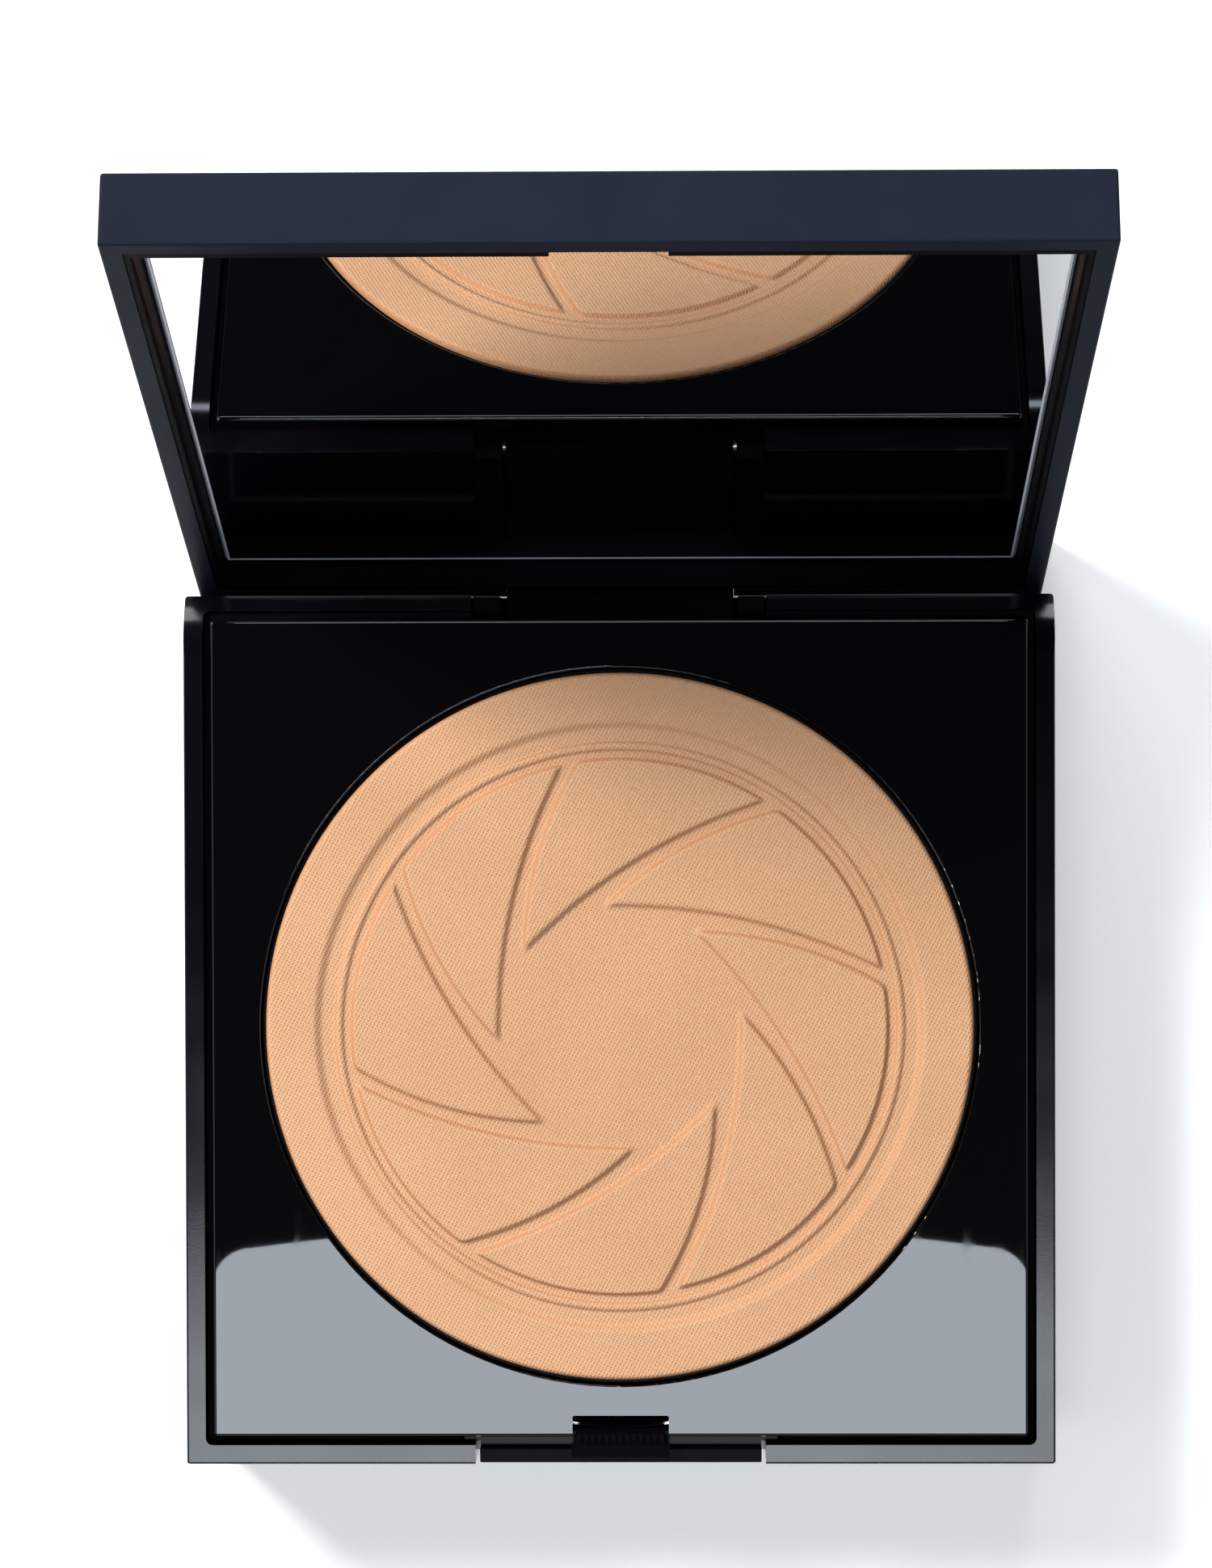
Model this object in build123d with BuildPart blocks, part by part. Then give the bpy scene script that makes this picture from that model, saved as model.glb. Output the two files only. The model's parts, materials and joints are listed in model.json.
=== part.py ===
from build123d import *
import math
import os

# Pressed powder compact: a square case. A mirrored lid turns on a pin at the back, a glossy tray holds the
# powder pan, and a push button at the front carries the catch that keeps the lid shut. Millimetres; the
# origin is the centre of the underside, +X is to the user's right, +Y points to the hinge and +Z is up.

os.makedirs("parts", exist_ok=True)

# --- Driving dimensions -------------------------------------------------------------------------------

case_side = 73.0        # the closed case is square in plan
base_height = 16.0      # table to closing face
lid_thickness = 5.7
opening_angle = 109.0   # at rest, in degrees; the lid's back edge then all but touches the back wall

corner_radius = 0.25    # upright corners of both shells
cavity_corner_radius = 0.6
foot_radius = 0.2
rim_radius = 0.18       # small break on the closing edges
side_wall = 1.6
front_wall = 1.6
rear_wall = 1.3
floor_thickness = 1.3

half_side = case_side / 2

# Hinge of the lid
hinge_y = half_side - 5.0
hinge_z = base_height - 7.1
hinge_pin_radius = 0.8
hinge_pin_chamfer = 0.16
knuckle_radius = 1.9
knuckle_half_width = 9.8
bay_half_width = 12.4   # opening in the back wall
ear_inner_x = 10.1
sill_height = 1.8       # what is left of the back wall under the opening
ear_rise = 4.0          # the ears fill the ends of the opening up to this height above the pin
ear_gap = 0.1
relief_gap = 0.05
running_clearance = 0.05

# Inner tray
deck_size = 68.6
deck_centre_y = 0.05
deck_thickness = 1.3
deck_top = base_height - 0.2
deck_bottom = deck_top - deck_thickness
deck_edge_radius = 0.3
hole_edge_radius = 0.15
pan_centre_y = 0.25
pan_hole_radius = 30.15
well_wall = 0.6
well_bottom = deck_top - 4.5
notch_half_width = 4.05
notch_depth = 1.8

# Powder and its pan
pan_wall = 0.25
pan_radius = 29.95
pan_rim_drop = 0.5      # the pan's rim stands this much below the tray's top
glue_thickness = 0.15
glue_radius = 24.0
cake_radius = pan_radius - pan_wall
cake_border_top = deck_top - 0.1
relief_height = 0.3
ring_groove_radii = (0.845 * cake_radius, 0.78 * cake_radius)
ring_groove_width = 0.5
ring_groove_depth = 0.2
blade_count = 8
blade_outer_radius = 0.76 * cake_radius
blade_tip_radius = 0.347 * cake_radius
blade_arc = 41.0        # degrees of the ring that one blade takes
blade_sweep = 83.7      # degrees from a blade's first ring corner to its tip
blade_start = 57.5
short_edge_bow = 0.034 * cake_radius
long_edge_bow = 0.052 * cake_radius

# Inner chassis of the base
ledge_top = deck_bottom
chassis_gap = 0.1       # glue line to the shell
chassis_wall = 1.2
shelf_top = 8.9
shelf_thickness = 0.9
ring_inner_radius = 29.0
ring_centre_y = -1.0

# Push button, spring and catch
button_width = 23.7
button_window_width = 24.4
button_window_bottom = 8.6
button_height_gap = 0.25
button_face_thickness = 1.2
button_face_fall = 0.55 # the top of the face slopes down to the front
button_body_top = deck_bottom - 0.2
button_body_bottom = 9.4
flange_half_width = 13.2
flange_front_y = -half_side + front_wall + 0.1
flange_thickness = 0.8
guide_half_width = 13.6
guide_wall = 1.0
spring_wall_y = -31.7
spring_wall_thickness = 0.8
spring_thickness = 0.2
spring_half_length = 9.0
spring_bottom = 10.4
spring_height = 2.8
spring_gap = 0.05
catch_half_width = 3.75
catch_rear_y = -33.7
catch_front_y = -34.75
catch_top = base_height + 1.4
catch_top_fall = 0.3
nose_half_width = 4.1
nose_front_y = -35.75
nose_thickness = 0.7
catch_rib_count = 13
catch_rib_width = 0.28
catch_rib_length = 0.62
catch_rib_height = 0.12

# Lid, measured on the closed case
lid_top_wall = 1.5
lid_edge_radius = 0.22
frame_gap = 0.05
frame_drop = 0.12       # the inner frame stands back from the closing edge
frame_lip_radius = 0.25
frame_opening_width = 68.5
frame_opening_front_y = -33.75
frame_opening_rear_y = 34.14
frame_plate_thickness = 0.55
mirror_depth = 2.5      # closing face to glass
mirror_thickness = 0.95
mirror_bevel_width = 0.45
mirror_bevel_depth = 0.3
mirror_gap = 0.05
tape_thickness = 0.15
tape_inset = 2.5
lug_wall = 1.5
lug_rise = 1.2          # how far the hinge lug reaches up into the lid's back wall
pocket_half_width = 4.4
pocket_bottom = 0.6
pocket_top = 1.7
pocket_depth = 1.0
lip_notch_half_width = 4.3
lip_notch_depth = 1.9


def polar(radius, degrees):
    """A point of the powder's relief, about the middle of the pan."""
    angle = math.radians(degrees)
    return (radius * math.cos(angle), radius * math.sin(angle))


def finish_part(builder, name):
    """Label a finished piece and write it as its own node."""
    builder.part.label = name
    export_step(builder.part, f"parts/{name}.step")


# --- Base ---------------------------------------------------------------------------------------------

cavity_front_y = -half_side + front_wall
cavity_rear_y = half_side - rear_wall
cavity_width = case_side - 2 * side_wall
cavity_length = cavity_rear_y - cavity_front_y
cavity_centre_y = (cavity_rear_y + cavity_front_y) / 2
window_height = base_height - button_window_bottom

with BuildPart() as base_shell:
    with BuildSketch(Plane.XY):
        RectangleRounded(case_side, case_side, corner_radius)
    extrude(amount=base_height)
    foot_edges = base_shell.faces().sort_by(Axis.Z)[0].edges()
    fillet(foot_edges, foot_radius)
    rim_edges = base_shell.faces().sort_by(Axis.Z)[-1].edges()
    fillet(rim_edges, rim_radius)
    with BuildSketch(Plane.XY.offset(floor_thickness)):
        with Locations((0, cavity_centre_y)):
            RectangleRounded(cavity_width, cavity_length, cavity_corner_radius)
    extrude(amount=base_height, mode=Mode.SUBTRACT)
    # window of the push button, open at the top
    with BuildSketch(Plane.XZ.offset(half_side)):
        with Locations((0, button_window_bottom + window_height / 2)):
            Rectangle(button_window_width, window_height)
    extrude(amount=-front_wall, mode=Mode.SUBTRACT)
    # opening for the lid's hinge lug
    with BuildSketch(Plane.XZ.offset(-half_side)):
        with Locations((0, (base_height + sill_height) / 2)):
            Rectangle(2 * bay_half_width, base_height - sill_height)
    extrude(amount=rear_wall, mode=Mode.SUBTRACT)
    # the back of the closing edge falls away round the hinge, where the lid's own edge swings past
    with BuildSketch(Plane.YZ.offset(-half_side)):
        with Locations((hinge_y + case_side / 2, hinge_z + case_side / 2)):
            Rectangle(case_side, case_side)
        with Locations((hinge_y, hinge_z)):
            Circle(base_height - hinge_z - relief_gap, mode=Mode.SUBTRACT)
    extrude(amount=case_side, mode=Mode.SUBTRACT)
finish_part(base_shell, "base_shell")

chassis_width = cavity_width - 2 * chassis_gap
chassis_length = cavity_length - 2 * chassis_gap
bay_wall_y = ring_centre_y + ring_inner_radius + chassis_wall / 2
ring_outer_radius = ring_inner_radius + chassis_wall
ear_width = bay_half_width - ear_inner_x - ear_gap
ear_foot_y = hinge_y + knuckle_radius
ear_foot_z = sill_height + ear_gap
ear_rear_y = half_side - ear_gap
ear_top_z = hinge_z + ear_rise
spring_wall_centre_y = spring_wall_y + spring_wall_thickness / 2

with BuildPart() as base_chassis:
    # side walls
    with BuildSketch(Plane.XY.offset(floor_thickness)):
        with Locations((0, cavity_centre_y)):
            RectangleRounded(chassis_width, chassis_length, cavity_corner_radius)
            Rectangle(
                chassis_width - 2 * chassis_wall,
                chassis_length - 2 * chassis_wall,
                mode=Mode.SUBTRACT,
            )
    extrude(amount=ledge_top - floor_thickness)
    # shelf and stiffening ring, and the partition to the hinge bay
    with BuildSketch(Plane.XY.offset(shelf_top - shelf_thickness)):
        with Locations((0, (cavity_front_y + chassis_gap + bay_wall_y + chassis_wall / 2) / 2)):
            Rectangle(
                chassis_width - chassis_wall,
                bay_wall_y + chassis_wall / 2 - cavity_front_y - chassis_gap,
            )
    extrude(amount=shelf_thickness)
    with BuildSketch(Plane.XY.offset(floor_thickness)):
        with Locations((0, bay_wall_y)):
            Rectangle(chassis_width - chassis_wall, chassis_wall)
        with Locations((0, ring_centre_y)):
            Circle(ring_outer_radius)
    extrude(amount=shelf_top - floor_thickness)
    with BuildSketch(Plane.XY.offset(floor_thickness)):
        with Locations((0, ring_centre_y)):
            Circle(ring_inner_radius)
    extrude(amount=base_height, mode=Mode.SUBTRACT)
    # the back wall opens where the lid's lug passes
    with BuildSketch(Plane.XZ.offset(-half_side)):
        with Locations((0, (base_height + sill_height) / 2)):
            Rectangle(2 * bay_half_width, base_height - sill_height)
    extrude(amount=rear_wall + chassis_gap + chassis_wall, mode=Mode.SUBTRACT)
    # ears that hold the lid's hinge pin and close the ends of the opening
    for side in (-1, 1):
        with BuildSketch(Plane.YZ.offset(side * (ear_inner_x + ear_width / 2))):
            with BuildLine():
                Polyline(
                    (bay_wall_y, floor_thickness),
                    (ear_foot_y, floor_thickness),
                    (ear_foot_y, ear_foot_z),
                    (ear_rear_y, ear_foot_z),
                    (ear_rear_y, ear_top_z),
                    (hinge_y, ear_top_z),
                    (hinge_y, hinge_z),
                    (bay_wall_y, hinge_z),
                    close=True,
                )
            make_face()
            with Locations((hinge_y, hinge_z)):
                Circle(knuckle_radius)
        extrude(amount=ear_width / 2, both=True)
    with BuildSketch(Plane.YZ.offset(-bay_half_width)):
        with Locations((hinge_y, hinge_z)):
            Circle(hinge_pin_radius)
    extrude(amount=2 * bay_half_width, mode=Mode.SUBTRACT)
    # button bay: gap in the front wall, side guides and the wall behind the spring
    with BuildSketch(Plane.XY.offset(button_window_bottom)):
        with Locations((0, (cavity_front_y + spring_wall_y) / 2)):
            Rectangle(2 * guide_half_width, spring_wall_y - cavity_front_y)
    extrude(amount=base_height, mode=Mode.SUBTRACT)
    with BuildSketch(Plane.XY.offset(shelf_top - shelf_thickness)):
        with Locations((0, spring_wall_centre_y)):
            Rectangle(2 * (guide_half_width + guide_wall), spring_wall_thickness)
        for side in (-1, 1):
            guide_length = spring_wall_y - cavity_front_y - chassis_gap
            with Locations((side * (guide_half_width + guide_wall / 2), spring_wall_y - guide_length / 2)):
                Rectangle(guide_wall, guide_length)
    extrude(amount=ledge_top - shelf_top + shelf_thickness)
finish_part(base_chassis, "base_chassis")

with BuildPart() as hinge_pin:
    with BuildSketch(Plane.YZ.offset(-ear_inner_x - ear_width)):
        with Locations((hinge_y, hinge_z)):
            Circle(hinge_pin_radius)
    extrude(amount=2 * (ear_inner_x + ear_width))
    chamfer(hinge_pin.edges().filter_by(GeomType.CIRCLE), hinge_pin_chamfer)
finish_part(hinge_pin, "hinge_pin")

# --- Push button, its spring and the catch --------------------------------------------------------------

button_face_bottom = button_window_bottom + button_height_gap
button_face_top = base_height - button_height_gap
button_face_rear_y = -half_side + button_face_thickness
button_rear_y = flange_front_y + flange_thickness

with BuildPart() as push_button:
    with BuildSketch(Plane.YZ.offset(-button_width / 2)):
        with BuildLine():
            Polyline(
                (-half_side, button_face_bottom),
                (button_face_rear_y, button_face_bottom),
                (button_face_rear_y, button_face_top),
                (-half_side, button_face_top - button_face_fall),
                close=True,
            )
        make_face()
    extrude(amount=button_width)
    front_edges = push_button.faces().sort_by(Axis.Y)[0].edges()
    fillet(front_edges, rim_radius)
    # body behind the face, under the tray's edge
    with BuildSketch(Plane.XZ.offset(-button_face_rear_y)):
        with Locations((0, (button_body_bottom + button_body_top) / 2)):
            Rectangle(button_width, button_body_top - button_body_bottom)
    extrude(amount=-(button_rear_y - button_face_rear_y))
    # flange that stops behind the shell's front wall
    with BuildSketch(Plane.XZ.offset(-flange_front_y)):
        with Locations((0, (button_body_bottom + button_body_top) / 2)):
            Rectangle(2 * flange_half_width, button_body_top - button_body_bottom)
    extrude(amount=-flange_thickness)
finish_part(push_button, "push_button")

catch_base_z = button_body_top
catch_shoulder_z = catch_top - catch_top_fall
nose_bottom = catch_top - nose_thickness

with BuildPart() as latch_catch:
    with BuildSketch(Plane.YZ.offset(-catch_half_width)):
        with BuildLine():
            Polyline(
                (catch_rear_y, catch_base_z),
                (catch_rear_y, catch_top),
                (catch_front_y, catch_shoulder_z),
                (catch_front_y, catch_base_z),
                close=True,
            )
        make_face()
    extrude(amount=2 * catch_half_width)
    # nose with a sloped top, so that the closing lid can push past it
    with BuildSketch(Plane.YZ.offset(-nose_half_width)):
        with BuildLine():
            Polyline(
                (catch_front_y + rim_radius, nose_bottom),
                (catch_front_y + rim_radius, catch_shoulder_z),
                (nose_front_y, nose_bottom + nose_thickness / 4),
                (nose_front_y, nose_bottom),
                close=True,
            )
        make_face()
    extrude(amount=2 * nose_half_width)
    # fine ribs along the back of the top
    rib_pitch = 2 * catch_half_width / catch_rib_count
    with BuildSketch(Plane.XY.offset(catch_shoulder_z)):
        with Locations((0, catch_rear_y - catch_rib_length / 2)):
            with GridLocations(rib_pitch, catch_rib_length, catch_rib_count, 1):
                Rectangle(catch_rib_width, catch_rib_length)
    extrude(amount=catch_top_fall + catch_rib_height)
finish_part(latch_catch, "latch_catch")

spring_front_y = button_rear_y + spring_gap
spring_rear_y = spring_wall_y - spring_gap
spring_end_y = spring_rear_y - spring_thickness

with BuildPart() as button_spring:
    with BuildSketch(Plane.XY.offset(spring_bottom)):
        with BuildLine():
            ThreePointArc(
                (-spring_half_length, spring_rear_y),
                (0, spring_front_y + spring_thickness),
                (spring_half_length, spring_rear_y),
            )
            Line((spring_half_length, spring_rear_y), (spring_half_length, spring_end_y))
            ThreePointArc(
                (spring_half_length, spring_end_y),
                (0, spring_front_y),
                (-spring_half_length, spring_end_y),
            )
            Line((-spring_half_length, spring_end_y), (-spring_half_length, spring_rear_y))
        make_face()
    extrude(amount=spring_height)
finish_part(button_spring, "button_spring")

# --- Tray, pan and powder -----------------------------------------------------------------------------

deck_front_y = deck_centre_y - deck_size / 2

with BuildPart() as inner_tray:
    with BuildSketch(Plane.XY.offset(deck_bottom)):
        with Locations((0, deck_centre_y)):
            RectangleRounded(deck_size, deck_size, corner_radius)
    extrude(amount=deck_thickness)
    fillet(inner_tray.faces().sort_by(Axis.Z)[-1].edges(), deck_edge_radius)
    # round well under the deck
    with BuildSketch(Plane.XY.offset(well_bottom)):
        with Locations((0, pan_centre_y)):
            Circle(pan_hole_radius + well_wall)
    extrude(amount=deck_bottom - well_bottom)
    with BuildSketch(Plane.XY.offset(well_bottom + well_wall)):
        with Locations((0, pan_centre_y)):
            Circle(pan_hole_radius)
    extrude(amount=base_height, mode=Mode.SUBTRACT)
    top_circles = inner_tray.edges().filter_by(GeomType.CIRCLE).group_by(Axis.Z)[-1]
    fillet(top_circles.sort_by(SortBy.RADIUS)[-1], hole_edge_radius)
    # notch where the catch stands
    with BuildSketch(Plane.XY.offset(deck_bottom)):
        with Locations((0, deck_front_y)):
            RectangleRounded(2 * notch_half_width, 2 * notch_depth, rim_radius)
    extrude(amount=base_height, mode=Mode.SUBTRACT)
finish_part(inner_tray, "inner_tray")

pan_bottom = well_bottom + well_wall + glue_thickness
pan_rim = deck_top - pan_rim_drop

with BuildPart() as pan_glue:
    with BuildSketch(Plane.XY.offset(well_bottom + well_wall)):
        with Locations((0, pan_centre_y)):
            Circle(glue_radius)
    extrude(amount=glue_thickness)
finish_part(pan_glue, "pan_glue")

with BuildPart() as powder_pan:
    with BuildSketch(Plane.XY.offset(pan_bottom)):
        with Locations((0, pan_centre_y)):
            Circle(pan_radius)
    extrude(amount=pan_rim - pan_bottom)
    with BuildSketch(Plane.XY.offset(pan_bottom + pan_wall)):
        with Locations((0, pan_centre_y)):
            Circle(cake_radius)
    extrude(amount=base_height, mode=Mode.SUBTRACT)
finish_part(powder_pan, "powder_pan")

with BuildPart() as powder_cake:
    with BuildSketch(Plane.XY.offset(pan_bottom + pan_wall)):
        with Locations((0, pan_centre_y)):
            Circle(cake_radius)
    extrude(amount=cake_border_top - pan_bottom - pan_wall)
    for radius in ring_groove_radii:
        with BuildSketch(Plane.XY.offset(cake_border_top)):
            with Locations((0, pan_centre_y)):
                Circle(radius)
                Circle(radius - ring_groove_width, mode=Mode.SUBTRACT)
        extrude(amount=-ring_groove_depth, mode=Mode.SUBTRACT)
    # raised blades of the pressed relief, like a camera shutter's
    with BuildSketch(Plane.XY.offset(cake_border_top)):
        with Locations((0, pan_centre_y)):
            with PolarLocations(0, blade_count):
                with BuildSketch(Plane.XY, mode=Mode.PRIVATE) as blade:
                    with BuildLine():
                        first = polar(blade_outer_radius, blade_start)
                        middle = polar(blade_outer_radius, blade_start + blade_arc / 2)
                        last = polar(blade_outer_radius, blade_start + blade_arc)
                        tip = polar(blade_tip_radius, blade_start + blade_sweep)
                        ThreePointArc(first, middle, last)
                        SagittaArc(last, tip, -short_edge_bow)
                        SagittaArc(tip, first, long_edge_bow)
                    make_face()
                add(blade.sketch)
    extrude(amount=relief_height)
finish_part(powder_cake, "powder_cake")

# --- Lid ----------------------------------------------------------------------------------------------
# The lid is drawn on a plane that turns with it. Its origin is the hinge axis, and its axes are those of
# the closed case, so a height on the closed case is a height on this plane less hinge_z.

swing = math.radians(opening_angle)
lid_plane = Plane(
    origin=(0, hinge_y, hinge_z),
    x_dir=(1, 0, 0),
    z_dir=(0, math.sin(swing), math.cos(swing)),
)
lid_side_plane = Plane(
    origin=(0, hinge_y, hinge_z),
    x_dir=lid_plane.y_dir,
    z_dir=(1, 0, 0),
)

rim_z = base_height - hinge_z                  # closing face, above the hinge
lid_rear = half_side - hinge_y
lid_front = -half_side - hinge_y
lid_centre = (lid_rear + lid_front) / 2
frame_plate_bottom = rim_z + mirror_depth + mirror_thickness + tape_thickness
frame_top = frame_plate_bottom + frame_plate_thickness
shell_inner_rear = lid_rear - side_wall
shell_inner_front = lid_front + front_wall
opening_rear = frame_opening_rear_y - hinge_y
opening_front = frame_opening_front_y - hinge_y
opening_centre = (opening_rear + opening_front) / 2
opening_length = opening_rear - opening_front

with BuildPart() as lid_shell:
    with BuildSketch(lid_plane.offset(rim_z)):
        with Locations((0, lid_centre)):
            RectangleRounded(case_side, case_side, corner_radius)
    extrude(amount=lid_thickness)
    lid_axis = Axis((0, 0, 0), lid_plane.z_dir)
    fillet(lid_shell.faces().sort_by(lid_axis)[-1].edges(), lid_edge_radius)
    fillet(lid_shell.faces().sort_by(lid_axis)[0].edges(), rim_radius)
    with BuildSketch(lid_plane.offset(rim_z)):
        with Locations((0, lid_centre)):
            Rectangle(cavity_width, case_side - front_wall - side_wall)
    extrude(amount=lid_thickness - lid_top_wall, mode=Mode.SUBTRACT)
    # slot in the back wall for the hinge lug
    with BuildSketch(lid_plane.offset(rim_z)):
        with Locations((0, lid_rear - side_wall / 2)):
            Rectangle(2 * (knuckle_half_width + running_clearance), side_wall)
    extrude(amount=lug_rise + running_clearance, mode=Mode.SUBTRACT)
    # pocket in the front wall for the catch's nose
    with BuildSketch(lid_plane.offset(rim_z + pocket_bottom)):
        with Locations((0, shell_inner_front - pocket_depth / 2)):
            Rectangle(2 * pocket_half_width, pocket_depth)
    extrude(amount=pocket_top - pocket_bottom, mode=Mode.SUBTRACT)
finish_part(lid_shell, "lid_shell")

with BuildPart() as lid_frame:
    with BuildSketch(lid_plane.offset(rim_z + frame_drop)):
        with Locations((0, (shell_inner_rear + shell_inner_front) / 2)):
            Rectangle(
                cavity_width - 2 * frame_gap,
                shell_inner_rear - shell_inner_front - 2 * frame_gap,
            )
        with Locations((0, opening_centre)):
            Rectangle(frame_opening_width, opening_length, mode=Mode.SUBTRACT)
    extrude(amount=frame_top - rim_z - frame_drop)
    lip_edges = lid_frame.faces().sort_by(lid_axis)[0].inner_wires()[0].edges()
    fillet(lip_edges, frame_lip_radius)
    # plate behind the mirror
    with BuildSketch(lid_plane.offset(frame_plate_bottom)):
        with Locations((0, opening_centre)):
            Rectangle(frame_opening_width + frame_gap, opening_length + frame_gap)
    extrude(amount=frame_plate_thickness)
    # hinge lug: fills the opening in the base's back wall when the case is shut
    with BuildSketch(lid_side_plane):
        with BuildLine():
            Polyline(
                (opening_rear, rim_z + lug_rise),
                (lid_rear, rim_z + lug_rise),
                (lid_rear, knuckle_radius / 2),
            )
            RadiusArc(
                (lid_rear, knuckle_radius / 2),
                (0, -knuckle_radius),
                lid_rear,
            )
            Polyline(
                (0, -knuckle_radius),
                (0, knuckle_radius),
                (lid_rear - lug_wall, rim_z / 2),
                (lid_rear - lug_wall, rim_z + frame_drop),
                (opening_rear, rim_z + frame_drop),
                (opening_rear, rim_z + lug_rise),
            )
        make_face()
        Circle(knuckle_radius)
    extrude(amount=knuckle_half_width, both=True)
    with BuildSketch(lid_side_plane):
        Circle(hinge_pin_radius + running_clearance)
    extrude(amount=bay_half_width, both=True, mode=Mode.SUBTRACT)
    # notch in the front lip, where the catch stands
    with BuildSketch(lid_plane.offset(rim_z)):
        with Locations((0, (shell_inner_front + opening_front) / 2)):
            Rectangle(2 * lip_notch_half_width, opening_front - shell_inner_front)
    extrude(amount=lip_notch_depth, mode=Mode.SUBTRACT)
finish_part(lid_frame, "lid_frame")

mirror_width = frame_opening_width - 2 * mirror_gap
mirror_length = opening_length - 2 * mirror_gap

with BuildPart() as mirror:
    with BuildSketch(lid_plane.offset(rim_z + mirror_depth)):
        with Locations((0, opening_centre)):
            Rectangle(mirror_width, mirror_length)
    extrude(amount=mirror_thickness)
    glass_face = mirror.faces().sort_by(lid_axis)[0]
    chamfer(glass_face.edges(), mirror_bevel_depth, mirror_bevel_width, reference=glass_face)
finish_part(mirror, "mirror")

with BuildPart() as mirror_tape:
    with BuildSketch(lid_plane.offset(rim_z + mirror_depth + mirror_thickness)):
        with Locations((0, opening_centre)):
            Rectangle(mirror_width - 2 * tape_inset, mirror_length - 2 * tape_inset)
    extrude(amount=tape_thickness)
finish_part(mirror_tape, "mirror_tape")
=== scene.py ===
import json
import math

import bpy
import numpy as np
from mathutils import Euler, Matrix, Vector


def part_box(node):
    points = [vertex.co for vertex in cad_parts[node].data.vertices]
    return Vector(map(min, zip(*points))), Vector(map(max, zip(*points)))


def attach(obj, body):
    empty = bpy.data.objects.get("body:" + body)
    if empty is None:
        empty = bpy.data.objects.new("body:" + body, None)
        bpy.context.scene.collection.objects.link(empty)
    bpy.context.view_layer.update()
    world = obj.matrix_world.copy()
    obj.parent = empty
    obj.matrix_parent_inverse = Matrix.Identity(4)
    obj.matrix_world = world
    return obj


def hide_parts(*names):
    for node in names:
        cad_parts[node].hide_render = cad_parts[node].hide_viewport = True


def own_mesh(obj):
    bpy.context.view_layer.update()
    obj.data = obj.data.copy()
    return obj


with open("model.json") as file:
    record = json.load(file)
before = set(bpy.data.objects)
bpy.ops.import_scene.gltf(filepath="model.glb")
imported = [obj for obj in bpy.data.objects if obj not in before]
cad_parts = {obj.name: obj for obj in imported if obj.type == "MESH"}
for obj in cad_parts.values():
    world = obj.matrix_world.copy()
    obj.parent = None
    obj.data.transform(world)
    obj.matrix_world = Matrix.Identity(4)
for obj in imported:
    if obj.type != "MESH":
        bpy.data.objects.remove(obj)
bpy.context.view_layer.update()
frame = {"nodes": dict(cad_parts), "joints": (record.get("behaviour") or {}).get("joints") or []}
nodes = frame["nodes"]
mm = 0.001

# --- Places read from the frame -------------------------------------------------------------------------

deck_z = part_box("inner_tray")[1].z
cake_low, cake_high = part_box("powder_cake")
lid_joint = next(j for j in frame["joints"] if j["name"] == "lid_hinge")
swing = math.radians(-lid_joint["range_deg"][0])

# directions of the closed lid's Y and Z, turned with the open lid
lid_y = Vector((0, math.cos(swing), -math.sin(swing)))
lid_z = Vector((0, math.sin(swing), math.cos(swing)))


# --- Node helpers ----------------------------------------------------------------------------------------

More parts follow.
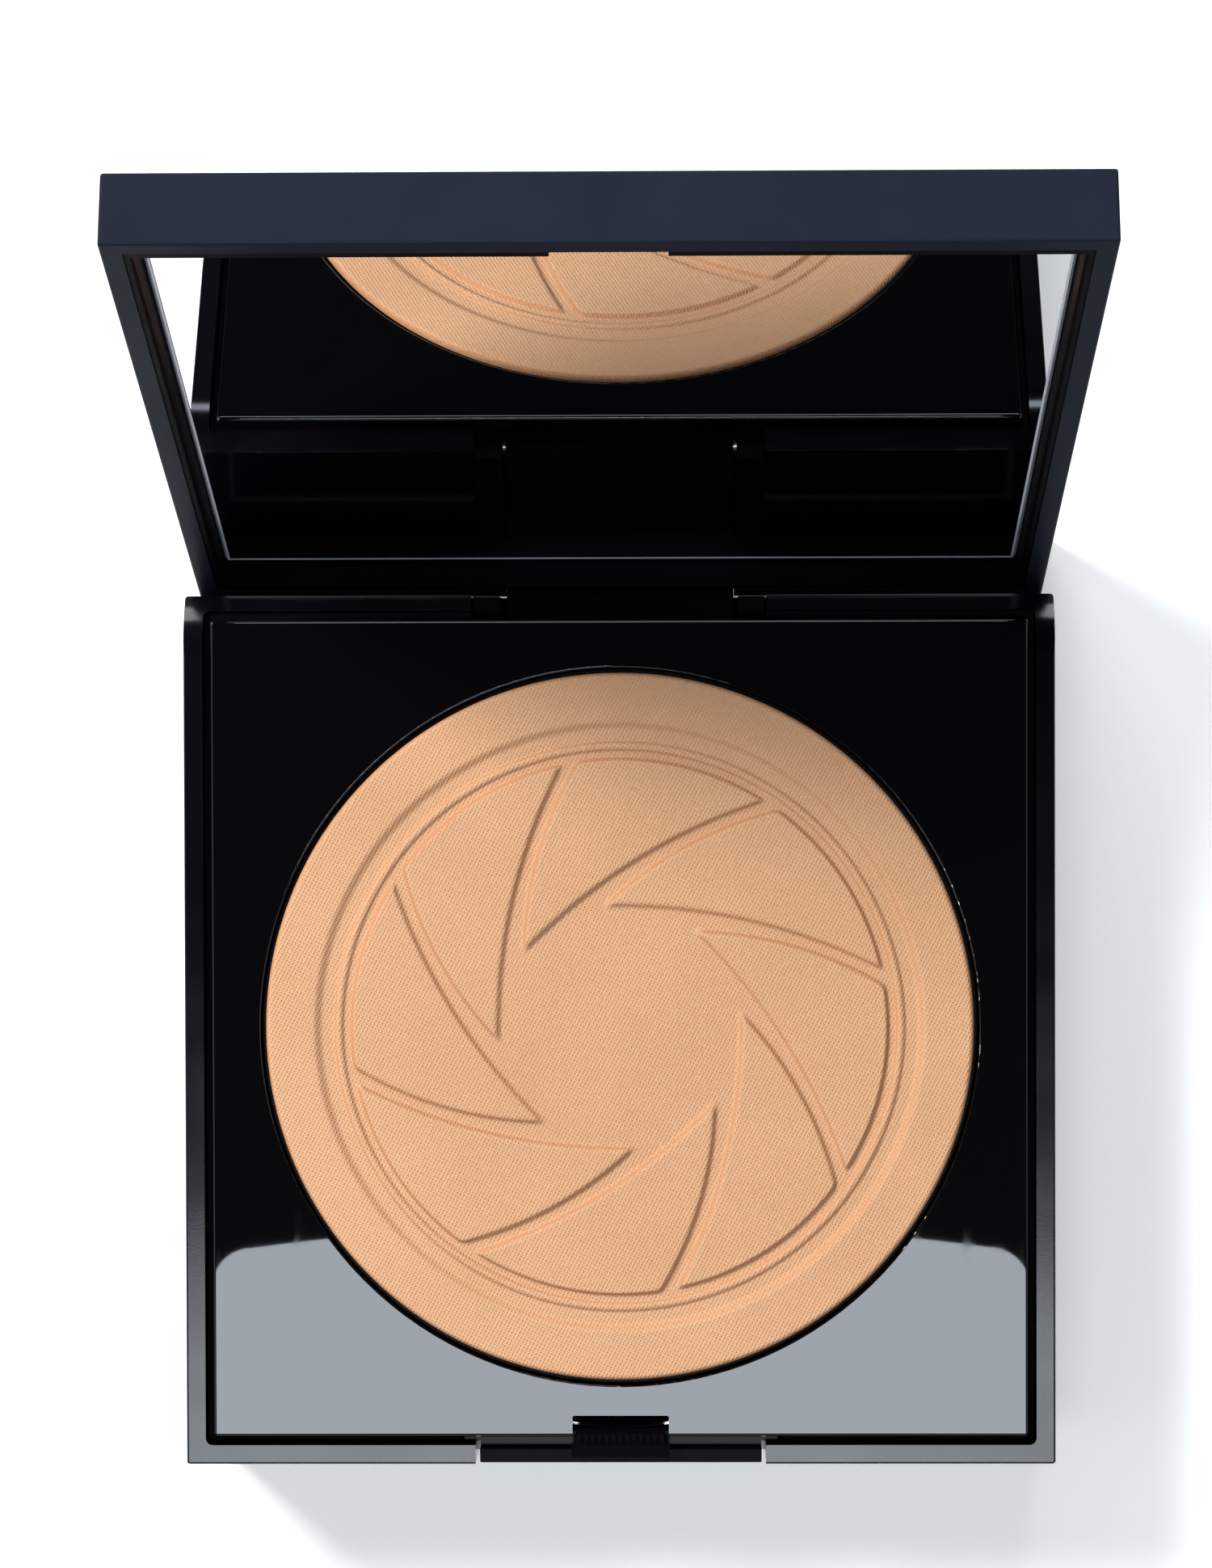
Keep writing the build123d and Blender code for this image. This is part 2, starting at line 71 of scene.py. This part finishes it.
class Shader:
    """One procedural material: a Principled shader and the nodes that feed it."""

    def __init__(self, name, color, roughness, **sockets):
        self.material = bpy.data.materials.new(name)
        self.material.use_nodes = True
        self.tree = self.material.node_tree
        self.principled = next(n for n in self.tree.nodes if n.type == "BSDF_PRINCIPLED")
        self.principled.inputs["Base Color"].default_value = (*color, 1)
        self.principled.inputs["Roughness"].default_value = roughness
        for socket, value in sockets.items():
            self.principled.inputs[socket.replace("_", " ")].default_value = value
        self.place = self.node("ShaderNodeTexCoord").outputs["Object"]

    def node(self, kind, **settings):
        made = self.tree.nodes.new(kind)
        for setting, value in settings.items():
            setattr(made, setting, value)
        return made

    def link(self, source, target):
        self.tree.links.new(source, target)

    def math(self, operation, a, b=None, c=None):
        made = self.node("ShaderNodeMath", operation=operation)
        for socket, value in zip(made.inputs, (a, b, c)):
            if isinstance(value, bpy.types.NodeSocket):
                self.link(value, socket)
            elif value is not None:
                socket.default_value = value
        return made.outputs[0]

    def noise(self, size, detail=3.0, roughness=0.55, stretch=(1, 1, 1), seed=0.0):
        """A noise of about 0 to 1, with features of that size in metres."""
        mapping = self.node("ShaderNodeMapping")
        mapping.inputs["Scale"].default_value = stretch
        mapping.inputs["Location"].default_value = (seed, seed * 0.7, seed * 0.3)
        self.link(self.place, mapping.inputs["Vector"])
        made = self.node("ShaderNodeTexNoise")
        made.inputs["Scale"].default_value = 1 / size
        made.inputs["Detail"].default_value = detail
        made.inputs["Roughness"].default_value = roughness
        self.link(mapping.outputs["Vector"], made.inputs["Vector"])
        return made.outputs["Fac"]

    def ramp(self, value, low, high, to_low, to_high):
        made = self.node("ShaderNodeMapRange", interpolation_type="SMOOTHSTEP")
        for socket, number in zip(list(made.inputs)[1:5], (low, high, to_low, to_high)):
            socket.default_value = number
        self.link(value, made.inputs["Value"])
        return made.outputs["Result"]

    def tint(self, value, low_color, high_color):
        """Base colour that goes from one colour to another with value."""
        made = self.node("ShaderNodeMix", data_type="RGBA")
        self.link(value, made.inputs["Factor"])
        made.inputs["A"].default_value = (*low_color, 1)
        made.inputs["B"].default_value = (*high_color, 1)
        return made.outputs["Result"]

    def color(self, socket):
        self.link(socket, self.principled.inputs["Base Color"])

    def rough(self, socket):
        self.link(socket, self.principled.inputs["Roughness"])

    def bump(self, height, distance, strength=1.0):
        """Adds a bump of that height in metres over any earlier one."""
        made = self.node("ShaderNodeBump")
        made.inputs["Strength"].default_value = strength
        made.inputs["Distance"].default_value = distance
        self.link(height, made.inputs["Height"])
        before = self.principled.inputs["Normal"]
        if before.is_linked:
            self.link(before.links[0].from_socket, made.inputs["Normal"])
        self.link(made.outputs["Normal"], before)


def dress(node, shader):
    """Gives a CAD node its finish."""
    slots = nodes[node].data.materials
    slots.clear()
    slots.append(shader.material)


# --- Materials -------------------------------------------------------------------------------------------

def moulded(name, color, roughness, grain_height, spread=0.04, **sockets):
    """Moulded plastic: fine spark-eroded grain, slow changes of gloss and faint handling marks."""
    shader = Shader(name, color, roughness, **sockets)
    cloud = shader.noise(9 * mm, detail=2.0, seed=3.1)
    shader.rough(shader.ramp(cloud, 0.3, 0.7, roughness - spread, roughness + spread))
    shader.color(shader.tint(cloud, [c * 0.85 for c in color], [c * 1.15 for c in color]))
    shader.bump(shader.noise(0.16 * mm, detail=2.0, seed=1.7), grain_height)
    return shader


case_satin = moulded("case_satin", (0.0015, 0.0015, 0.0025), 0.14, 0.0016 * mm, 0.02, Specular_IOR_Level=0.36)
lid_satin = moulded("lid_satin", (0.0115, 0.0150, 0.0265), 0.34, 0.0026 * mm, Specular_IOR_Level=0.015)
inner_black = moulded("inner_black", (0.0025, 0.0025, 0.0035), 0.5, 0.0040 * mm, Specular_IOR_Level=0.02)


def gloss_black(name, color, roughness, specular):
    """High-gloss black: a mirror-smooth skin with a little waviness and fine wipe marks."""
    shader = Shader(name, color, roughness, Specular_IOR_Level=specular)
    wipe = shader.noise(1.4 * mm, detail=4.0, stretch=(1.0, 0.25, 1.0), seed=5.3)
    shader.rough(shader.ramp(wipe, 0.5, 0.8, roughness, roughness + 0.02))
    shader.bump(shader.noise(16 * mm, detail=1.0, seed=2.2), 0.0012 * mm)
    return shader


tray_gloss = gloss_black("tray_gloss", (0.0018, 0.0018, 0.0022), 0.012, 0.5)
button_gloss = gloss_black("button_gloss", (0.003, 0.003, 0.006), 0.16, 0.06)


def steel(name, color):
    shader = Shader(name, color, 0.28, Metallic=1.0)
    streak = shader.noise(0.35 * mm, detail=3.0, stretch=(0.03, 1.0, 1.0), seed=0.9)
    shader.rough(shader.ramp(streak, 0.3, 0.7, 0.2, 0.38))
    shader.bump(streak, 0.002 * mm)
    return shader


pin_steel = steel("pin_steel", (0.55, 0.55, 0.56))
spring_steel = steel("spring_steel", (0.42, 0.43, 0.46))

glue_pad = Shader("glue_pad", (0.75, 0.74, 0.70), 0.5)
glue_pad.bump(glue_pad.noise(1.5 * mm, seed=4.0), 0.02 * mm)
foam_tape = Shader("foam_tape", (0.82, 0.82, 0.80), 0.85)
foam_tape.bump(foam_tape.noise(0.3 * mm, seed=4.4), 0.03 * mm)

pan_lacquer = Shader("pan_lacquer", (0.004, 0.004, 0.005), 0.35, Specular_IOR_Level=0.04)
pan_lacquer.bump(pan_lacquer.noise(0.4 * mm, seed=6.0), 0.003 * mm)

# Mirror: silvered glass with a ground border: its bevel, told apart by the way the face looks, and a narrow
# band of the face along both sides and the hinge end
SIDE_BAND = 0.50 * mm
END_BAND = 0.70 * mm
BEVEL_FACING = 0.95       # a face that looks less than this along the glass's normal is bevel
glass_points = [v.co for v in nodes["mirror"].data.vertices]
glass_half_width = max(p.x for p in glass_points)
glass_end = max(p.dot(lid_y) for p in glass_points)

mirror_glass = Shader("mirror_glass", (0.92, 0.94, 0.95), 0.0, Metallic=1.0)


def along(socket, direction):
    made = mirror_glass.node("ShaderNodeVectorMath", operation="DOT_PRODUCT")
    mirror_glass.link(socket, made.inputs[0])
    made.inputs[1].default_value = direction
    return made.outputs["Value"]


facing = along(mirror_glass.node("ShaderNodeTexCoord").outputs["Normal"], -lid_z)
sideways = mirror_glass.math("ABSOLUTE", along(mirror_glass.place, (1, 0, 0)))
endways = along(mirror_glass.place, lid_y)
bevel = mirror_glass.math("LESS_THAN", facing, BEVEL_FACING)
side_band = mirror_glass.math("GREATER_THAN", sideways, glass_half_width - SIDE_BAND)
end_band = mirror_glass.math("GREATER_THAN", endways, glass_end - END_BAND)
ground = mirror_glass.math("MAXIMUM", bevel, mirror_glass.math("MAXIMUM", side_band, end_band))
mirror_glass.rough(mirror_glass.math("MULTIPLY", ground, 0.5))
mirror_glass.color(mirror_glass.tint(ground, (0.90, 0.92, 0.935), (0.78, 0.82, 0.90)))
polish = mirror_glass.math("SUBTRACT", 1.0, ground)
mirror_glass.link(polish, mirror_glass.principled.inputs["Metallic"])
grit = mirror_glass.noise(0.12 * mm, detail=2.0, seed=8.0)
mirror_glass.bump(mirror_glass.math("MULTIPLY", grit, ground), 0.01 * mm)

# Pressed powder: warm beige with a cloth print, fine grains, slow changes of tone and painted shade on the
# relief's walls
POWDER = (0.700, 0.400, 0.220)
POWDER_PALE = (0.730, 0.412, 0.236)
POWDER_DEEP = (0.640, 0.355, 0.188)
# painted shade: the dark brown that the relief's steep walls are tinted towards
POWDER_WALL_SHADE = (0.460, 0.190, 0.080)
PRINT_PITCH = 0.29 * mm
PRINT_ANGLE = math.radians(62)
PRINT_LEAN = math.radians(-28)

pressed_powder = Shader("pressed_powder", POWDER, 0.88, Specular_IOR_Level=0.25)
cloud = pressed_powder.noise(11 * mm, detail=3.0, seed=2.6)
grains = pressed_powder.noise(0.11 * mm, detail=3.0, roughness=0.7, seed=7.7)
shade = pressed_powder.math("MULTIPLY_ADD", grains, 0.65, pressed_powder.math("MULTIPLY", cloud, 0.35))
shade = pressed_powder.ramp(shade, 0.3, 0.7, 0.0, 1.0)
pressed_powder.color(pressed_powder.tint(shade, POWDER_DEEP, POWDER_PALE))
# painted shade: the steep walls of the relief are tinted a deeper, warmer brown, standing in for the shade in
# its channels
upright = pressed_powder.node("ShaderNodeSeparateXYZ")
pressed_powder.link(pressed_powder.node("ShaderNodeTexCoord").outputs["Normal"], upright.inputs[0])
wall = pressed_powder.node("ShaderNodeMix", data_type="RGBA")
pressed_powder.link(pressed_powder.ramp(upright.outputs["Z"], 0.72, 0.98, 0.55, 0.0), wall.inputs["Factor"])
pressed_powder.link(pressed_powder.principled.inputs["Base Color"].links[0].from_socket, wall.inputs["A"])
wall.inputs["B"].default_value = (*POWDER_WALL_SHADE, 1)
pressed_powder.color(wall.outputs["Result"])
xyz = pressed_powder.node("ShaderNodeSeparateXYZ")
pressed_powder.link(pressed_powder.place, xyz.inputs[0])


def thread_wave(angle, pitch):
    """Sine wave across the powder's top, along one direction of the cloth that pressed it."""
    along_x = pressed_powder.math("MULTIPLY", xyz.outputs["X"], math.cos(angle) * 2 * math.pi / pitch)
    along_y = pressed_powder.math("MULTIPLY", xyz.outputs["Y"], math.sin(angle) * 2 * math.pi / pitch)
    return pressed_powder.math("SINE", pressed_powder.math("ADD", along_x, along_y))


twill = thread_wave(PRINT_LEAN, PRINT_PITCH)
cross = thread_wave(PRINT_ANGLE, PRINT_PITCH * 1.1)
threads = pressed_powder.math("MULTIPLY", twill, cross)
weave = pressed_powder.math("MULTIPLY_ADD", twill, 0.45, pressed_powder.math("MULTIPLY", threads, 0.55))
pressed_powder.bump(pressed_powder.noise(0.5 * mm, detail=4.0, roughness=0.65, seed=1.1), 0.022 * mm)
pressed_powder.bump(weave, 0.034 * mm)
pressed_powder.bump(grains, 0.012 * mm)

for node, shader in {
    "base_shell": case_satin,
    "base_chassis": inner_black,
    "hinge_pin": pin_steel,
    "push_button": button_gloss,
    "latch_catch": inner_black,
    "button_spring": spring_steel,
    "inner_tray": tray_gloss,
    "pan_glue": glue_pad,
    "powder_pan": pan_lacquer,
    "powder_cake": pressed_powder,
    "lid_shell": lid_satin,
    "lid_frame": inner_black,
    "mirror": mirror_glass,
    "mirror_tape": foam_tape,
}.items():
    dress(node, shader)


# --- Pressed powder --------------------------------------------------------------------------------------

cake_radius = (cake_high.x - cake_low.x) / 2
cake_centre = (cake_low + cake_high) / 2
BLADES = 8
BLADE_START = math.radians(57.5)
BLADE_ARC = math.radians(41.2)
BLADE_SWEEP = math.radians(83.8)
BLADE_RING = 0.757 * cake_radius
BLADE_TIP = 0.345 * cake_radius
LONG_BOW = 0.0493 * cake_radius
SHORT_BOW = 0.0367 * cake_radius
RELIEF = 0.41 * mm
WALL = 0.42 * mm
CORNER = 0.35 * mm
BEAD_INNER, BEAD_OUTER = 0.779 * cake_radius, 0.808 * cake_radius
SHOULDER_INNER, SHOULDER_OUTER = 0.838 * cake_radius, 0.868 * cake_radius
EDGE_ROUND = 0.45 * mm
RINGS, SPOKES = 176, 1008
FINE_FROM, FINE_TO, FINE_EDGE = 0.735, 0.88, 0.975   # of the radius: where the mesh's rings stand closer
EDGE_DEPTH = 0.96         # how much of the quarter round is used, so that the edge never falls sheer
BEAD_HEIGHT = 0.62        # of the relief
SHOULDER_HEIGHT = 0.92
FOOT_INSET = 0.98         # of the radius, at the mesh's underside


def polar(radius, angle):
    return np.array((radius * math.cos(angle), radius * math.sin(angle)))


def arc_circle(a, b, bow):
    """Centre and radius of the circle through a and b, bowed to the right of the line from a to b."""
    chord = b - a
    half = np.hypot(*chord) / 2
    right = np.array((chord[1], -chord[0])) / (2 * half)
    radius = (half ** 2 + bow ** 2) / (2 * bow)
    return (a + b) / 2 - right * (radius - bow), radius


def smooth(t):
    t = np.clip(t, 0, 1)
    return t * t * (3 - 2 * t)


def rounded_max(a, b, reach):
    """The larger of a and b, with the crease between them rounded off."""
    h = np.clip(0.5 + 0.5 * (a - b) / reach, 0, 1)
    return b + (a - b) * h + reach * h * (1 - h)


def relief(x, y):
    """Height of the powder's top over its low level, at points about the middle of the pan."""
    r = np.hypot(x, y)
    height = np.zeros_like(r)
    for blade in range(BLADES):
        turn = BLADE_START + blade * 2 * math.pi / BLADES
        first, last = polar(BLADE_RING, turn), polar(BLADE_RING, turn + BLADE_ARC)
        tip = polar(BLADE_TIP, turn + BLADE_SWEEP)
        short_centre, short_radius = arc_circle(last, tip, SHORT_BOW)
        long_centre, long_radius = arc_circle(first, tip, LONG_BOW)
        past_short = np.hypot(x - short_centre[0], y - short_centre[1]) - short_radius
        past_long = long_radius - np.hypot(x - long_centre[0], y - long_centre[1])
        outside = rounded_max(rounded_max(r - BLADE_RING, past_short, CORNER), past_long, CORNER)
        height = np.maximum(height, smooth(0.5 - outside / WALL))
    bead = np.sin(np.pi * np.clip((r - BEAD_INNER) / (BEAD_OUTER - BEAD_INNER), 0, 1)) ** 0.8
    shoulder = smooth((r - SHOULDER_INNER) / (SHOULDER_OUTER - SHOULDER_INNER))
    return RELIEF * (height + BEAD_HEIGHT * bead + SHOULDER_HEIGHT * shoulder)


def ring_radii():
    """Radii of the mesh's rings, closest together over the rings and the blades' outer walls."""
    r = np.linspace(0, 1, 4001)
    weight = 1.0 + 1.3 * ((r > FINE_FROM) & (r < FINE_TO)) + 2.0 * (r > FINE_EDGE)
    travel = np.cumsum(weight)
    travel = (travel - travel[0]) / (travel[-1] - travel[0])
    return np.interp(np.linspace(0, 1, RINGS + 1), travel, r)[1:] * cake_radius


def grid_mesh(name, rows, top_centre, bottom_centre):
    """Closed mesh of rings of points, from round the top's middle to round the bottom's."""
    count = rows.shape[1]
    points = np.concatenate((rows.reshape(-1, 3), (top_centre, bottom_centre)))
    index = np.arange(rows.shape[0] * count).reshape(rows.shape[0], count)
    after = np.roll(index, -1, axis=1)
    quads = np.stack((index[:-1], index[1:], after[1:], after[:-1]), axis=-1).reshape(-1, 4)
    top = np.stack((np.full(count, len(points) - 2), index[0], after[0]), axis=-1)
    bottom = np.stack((np.full(count, len(points) - 1), after[-1], index[-1]), axis=-1)
    mesh = bpy.data.meshes.new(name)
    mesh.from_pydata(points.tolist(), [], quads.tolist() + top.tolist() + bottom.tolist())
    mesh.shade_smooth()
    mesh.validate()
    return mesh


def build_powder():
    radii = ring_radii()
    angles = np.linspace(0, 2 * math.pi, SPOKES, endpoint=False)
    x, y = np.outer(radii, np.cos(angles)), np.outer(radii, np.sin(angles))
    low = cake_high.z - RELIEF
    edge = np.clip((radii - (cake_radius - EDGE_ROUND)) / EDGE_ROUND, 0, 1)
    fall = EDGE_ROUND * (1 - np.sqrt(1 - edge ** 2 * EDGE_DEPTH))
    z = low + relief(x, y) - fall[:, None]
    rows = np.stack((x + cake_centre.x, y + cake_centre.y, z), axis=-1)
    foot = rows[-1:].copy()
    foot[..., 2] = cake_low.z
    inner_foot = foot.copy()
    middle = np.array(cake_centre.xy)
    inner_foot[..., :2] = middle + (inner_foot[..., :2] - middle) * FOOT_INSET
    rows = np.concatenate((rows, foot, inner_foot))
    mesh = grid_mesh("pressed_powder", rows, (*cake_centre.xy, low), (*cake_centre.xy, cake_low.z))
    mesh.materials.append(pressed_powder.material)
    powder = bpy.data.objects.new("pressed_powder", mesh)
    bpy.context.scene.collection.objects.link(powder)
    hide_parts("powder_cake")
    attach(powder, "base")


build_powder()


# --- Button spring ---------------------------------------------------------------------------------------
# a bowed leaf that flattens against the wall behind it when the button is pressed

LEAF_THICKNESS = 0.2 * mm
LEAF_STEPS = 48


def build_spring():
    low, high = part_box("button_spring")
    half, bow = high.x, high.y - low.y - LEAF_THICKNESS
    radius = (half ** 2 + bow ** 2) / (2 * bow)
    outline = []
    there, back = range(LEAF_STEPS + 1), range(LEAF_STEPS, -1, -1)
    for rear, steps in ((high.y, there), (high.y - LEAF_THICKNESS, back)):
        for step in steps:
            x = half * (2 * step / LEAF_STEPS - 1)
            y = rear - bow + radius - math.sqrt(radius ** 2 - x ** 2)
            outline.append((x, y))
    count = len(outline)
    points = [(x, y, z) for z in (low.z, high.z) for x, y in outline]
    faces = [(i, (i + 1) % count, count + (i + 1) % count, count + i) for i in range(count)]
    for i in range(LEAF_STEPS):
        far = count - 1 - i
        faces.append((far - 1, i + 1, i, far))
        faces.append((count + far, count + i, count + i + 1, count + far - 1))
    mesh = bpy.data.meshes.new("leaf_spring")
    mesh.from_pydata(points, [], [face[::-1] for face in faces])
    mesh.validate()
    mesh.materials.append(spring_steel.material)
    leaf = bpy.data.objects.new("leaf_spring", mesh)
    bpy.context.scene.collection.objects.link(leaf)
    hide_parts("button_spring")
    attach(leaf, "base")
    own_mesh(leaf)


build_spring()


# --- Studio ----------------------------------------------------------------------------------------------

def plain_mesh(name, points, material):
    mesh = bpy.data.meshes.new(name)
    mesh.from_pydata(points, [], [list(range(len(points)))])
    mesh.materials.append(material)
    made = bpy.data.objects.new(name, mesh)
    bpy.context.scene.collection.objects.link(made)
    return made


FLOOR_HALF = 4.0
paper = Shader("floor_paper", (0.90, 0.90, 0.90), 0.8)
paper.bump(paper.noise(0.6 * mm), 0.004 * mm)
paper.principled.inputs["Emission Color"].default_value = (1, 1, 1, 1)
paper.principled.inputs["Emission Strength"].default_value = 0.30
corners = ((-1, -1), (1, -1), (1, 1), (-1, 1))
plain_mesh("floor", [(x * FLOOR_HALF, y * FLOOR_HALF, 0) for x, y in corners], paper.material)

# camera over the case, a little behind its middle
CAMERA_PLACE = Vector((4.46, 28.59, 388.94)) * mm
CAMERA_TURN = Euler([math.radians(a) for a in (-1.224, 0.847, -0.164)], "XYZ")
CAMERA_LENS = 102.32
camera_data = bpy.data.cameras.new("camera")
camera_data.lens = CAMERA_LENS
camera_data.clip_start = 0.01
camera_data.clip_end = 20
camera = bpy.data.objects.new("camera", camera_data)
camera.location = CAMERA_PLACE
camera.rotation_euler = CAMERA_TURN
bpy.context.scene.collection.objects.link(camera)
bpy.context.scene.camera = camera


def glow(name, color, strength):
    material = bpy.data.materials.new(name)
    material.use_nodes = True
    tree = material.node_tree
    tree.nodes.clear()
    emission = tree.nodes.new("ShaderNodeEmission")
    emission.inputs["Color"].default_value = (*color, 1)
    emission.inputs["Strength"].default_value = strength
    output = tree.nodes.new("ShaderNodeOutputMaterial")
    tree.links.new(emission.outputs[0], output.inputs[0])
    return material


# overhead soft box, with an arched far edge; the tray's front part mirrors it
BOX_HEIGHT = 0.62
reach = (BOX_HEIGHT - deck_z) / (CAMERA_PLACE.z - deck_z)


def mirrored_by_tray(x, y):
    """The point at the soft box's height that the camera sees in the tray at (x, y)."""
    return (x + (x - CAMERA_PLACE.x) * reach, y + (y - CAMERA_PLACE.y) * reach, BOX_HEIGHT)


ARCH_HALF = 34.35 * mm
ARCH_TOP = -16.2 * mm
ARCH_SAG = 2.1 * mm
ARCH_CORNER = 3.4 * mm
BOX_FRONT = -62 * mm
BOX_HALF = 52 * mm
BOX_STEP = 0.8 * mm
ARCH_STEPS = 12           # in each corner, and in each half of the arch
corner_y = ARCH_TOP - ARCH_SAG - ARCH_CORNER
box_rear = corner_y - BOX_STEP
arch = [(-BOX_HALF, box_rear), (-BOX_HALF, BOX_FRONT), (BOX_HALF, BOX_FRONT), (BOX_HALF, box_rear)]
for step in range(ARCH_STEPS + 1):
    a = step / ARCH_STEPS * math.pi / 2
    arch.append((ARCH_HALF - ARCH_CORNER * (1 - math.cos(a)), corner_y + ARCH_CORNER * math.sin(a)))
for step in range(1, 2 * ARCH_STEPS):
    t = 1 - step / ARCH_STEPS
    arch.append(((ARCH_HALF - ARCH_CORNER) * t, ARCH_TOP - ARCH_SAG * t * t))
for step in range(ARCH_STEPS, -1, -1):
    a = step / ARCH_STEPS * math.pi / 2
    arch.append((-ARCH_HALF + ARCH_CORNER * (1 - math.cos(a)), corner_y + ARCH_CORNER * math.sin(a)))
box_glow = glow("soft_box_glow", (0.83, 0.90, 1.0), 10.2)
plain_mesh("soft_box", [mirrored_by_tray(*p) for p in reversed(arch)], box_glow)


def lamp(name, place, size, power, color, aim=(0, 0, 0.01)):
    data = bpy.data.lights.new(name, "AREA")
    data.shape = "RECTANGLE"
    data.size, data.size_y = size
    data.energy = power
    data.color = color
    made = bpy.data.objects.new(name, data)
    made.location = place
    made.rotation_euler = (Vector(aim) - Vector(place)).to_track_quat("-Z", "Y").to_euler()
    bpy.context.scene.collection.objects.link(made)


lamp("key", (-0.50, 0.48, 0.62), (0.22, 0.22), 9.6, (1.0, 0.985, 0.965))
lamp("fill_left", (-0.9, -0.1, 0.55), (0.6, 0.8), 1.6, (0.95, 0.98, 1.0))
lamp("fill_right", (0.9, -0.1, 0.55), (0.6, 0.8), 1.2, (0.95, 0.98, 1.0))
lamp("fill_back", (-0.1, 0.9, 0.5), (0.7, 0.4), 6.5, (0.93, 0.97, 1.0))
lamp("fill_front", (0.0, -0.9, 0.5), (0.8, 0.5), 1.6, (1.0, 0.99, 0.97))

# room: pale round the horizon, dark overhead
world = bpy.data.worlds.new("room")
bpy.context.scene.world = world
world.use_nodes = True
tree = world.node_tree
background = next(n for n in tree.nodes if n.type == "BACKGROUND")
direction = tree.nodes.new("ShaderNodeTexCoord")
split = tree.nodes.new("ShaderNodeSeparateXYZ")
tree.links.new(direction.outputs["Generated"], split.inputs[0])
rise = tree.nodes.new("ShaderNodeValToRGB")
rise.color_ramp.interpolation = "EASE"
rise.color_ramp.elements[0].position = 0.08
rise.color_ramp.elements[0].color = (0.42, 0.44, 0.48, 1)
rise.color_ramp.elements[1].position = 0.45
rise.color_ramp.elements[1].color = (0.016, 0.018, 0.024, 1)
tree.links.new(split.outputs["Z"], rise.inputs["Fac"])
tree.links.new(rise.outputs["Color"], background.inputs["Color"])
background.inputs["Strength"].default_value = 0.9

bpy.context.scene.view_settings.view_transform = "Standard"
